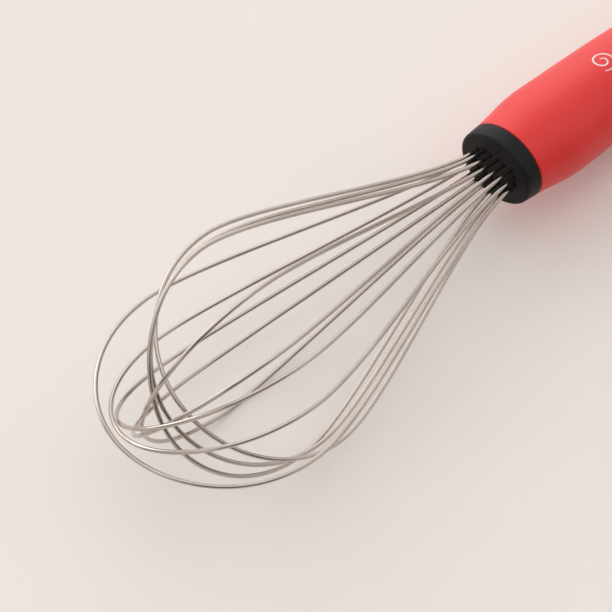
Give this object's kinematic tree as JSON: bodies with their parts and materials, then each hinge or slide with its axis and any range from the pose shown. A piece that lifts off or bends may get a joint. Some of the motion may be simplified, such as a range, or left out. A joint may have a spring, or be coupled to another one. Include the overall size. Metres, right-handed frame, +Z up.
{
  "type": "balloon whisk",
  "caption": "Balloon whisk with nested stainless wire loops, a black oval collar, a soft red grip and a black end cap with a hanging eye, for beating eggs, cream and batter.",
  "frame": {"origin": "Centre of the bottom face of the bounding box: the whisk lies on a table at Z = 0, resting on its lowest wire and on the back of its handle.", "axes": "X is along the whisk, with the tip of the wires towards -X and the hanging eye towards +X. +Z is up. Y is across the wide side of the oval handle."},
  "size_m": [0.2972, 0.0754, 0.0738],
  "materials": {
    "wires": "polished",
    "collar": "matt moulded",
    "resin": "cast",
    "core": "moulded",
    "grip": "soft satin",
    "end_cap": "matt moulded"
  },
  "bodies": {
    "root": {"wire_loop_1": "wires", "wire_loop_2": "wires", "wire_loop_3": "wires", "wire_loop_4": "wires", "wire_loop_5": "wires", "wire_loop_6": "wires", "wire_loop_7": "wires", "wire_loop_8": "wires", "collar": "collar", "resin_plug": "resin", "handle_core": "core", "grip_sleeve": "grip", "end_cap": "end_cap"}
  },
  "joints": []
}
